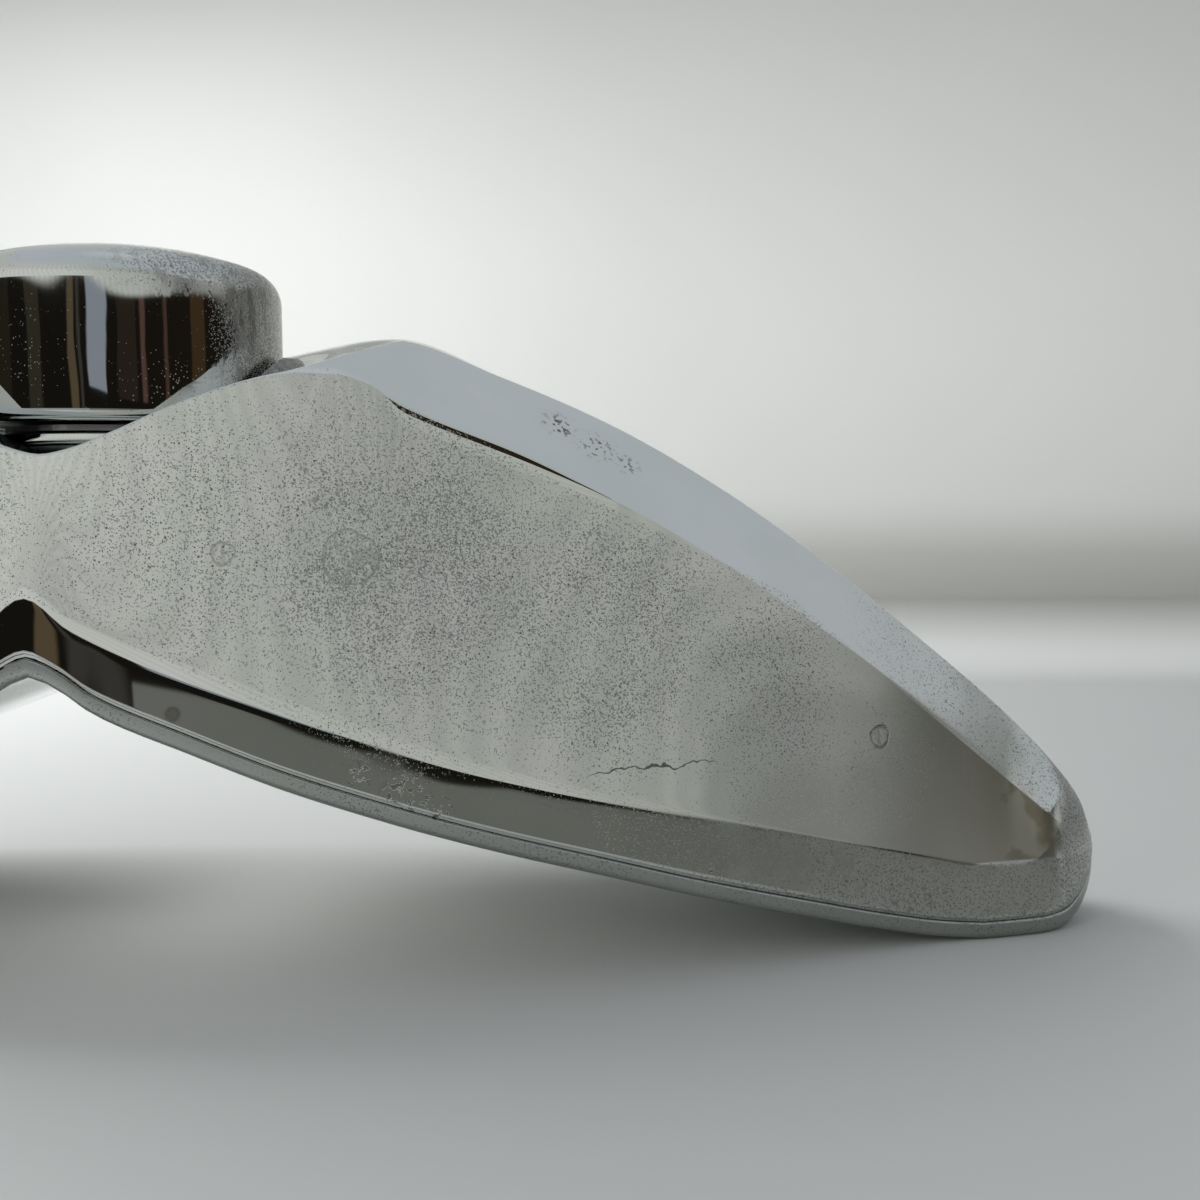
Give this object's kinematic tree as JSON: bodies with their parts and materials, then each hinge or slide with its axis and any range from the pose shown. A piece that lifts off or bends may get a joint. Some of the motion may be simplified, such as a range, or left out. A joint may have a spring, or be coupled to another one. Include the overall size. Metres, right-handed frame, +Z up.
{
  "type": "winged grip handle",
  "caption": "Chrome-plated die-cast grip with swept, scooped wings that stand on their tips and a thick round cap turning in the saddle between them.",
  "frame": {"origin": "on the floor, under the cap's axis, midway between the wing tips", "axes": "+X along the wings, -Y the front, +Z up along the cap's axis"},
  "size_m": [0.3364, 0.084, 0.1155],
  "materials": {
    "wing_chrome": "bright chrome plate with age pitting and water marks",
    "cover_chrome": "duller chrome plate, lightly hazed",
    "cap_chrome": "bright chrome plate, pitted along its edges",
    "plate_steel": "zinc-plated, dull",
    "fastener_steel": "zinc-plated",
    "bearing_brass": "turned",
    "seal_rubber": "matt black"
  },
  "bodies": {
    "grip": {"wing_shell": "wing_chrome", "underside_cover": "cover_chrome", "cover_screw_1": "fastener_steel", "cover_screw_2": "fastener_steel", "cover_screw_3": "fastener_steel", "cover_screw_4": "fastener_steel", "upper_bush": "bearing_brass", "lower_bush": "bearing_brass", "seal_ring": "seal_rubber", "thrust_washer": "plate_steel"},
    "cap": {"cap_shell": "cap_chrome", "cap_base_plate": "plate_steel", "cap_plate_screw_1": "fastener_steel", "cap_plate_screw_2": "fastener_steel", "cap_plate_screw_3": "fastener_steel", "hub_insert": "bearing_brass", "spindle": "plate_steel", "wave_washer": "plate_steel", "flat_washer": "plate_steel", "lock_nut": "fastener_steel"}
  },
  "joints": [
    {"name": "cap_turn", "type": "hinge", "parent": "grip", "child": "cap", "pos_m": [0, 0, 0.0986], "axis": [0, 0, 1], "continuous": true}
  ]
}
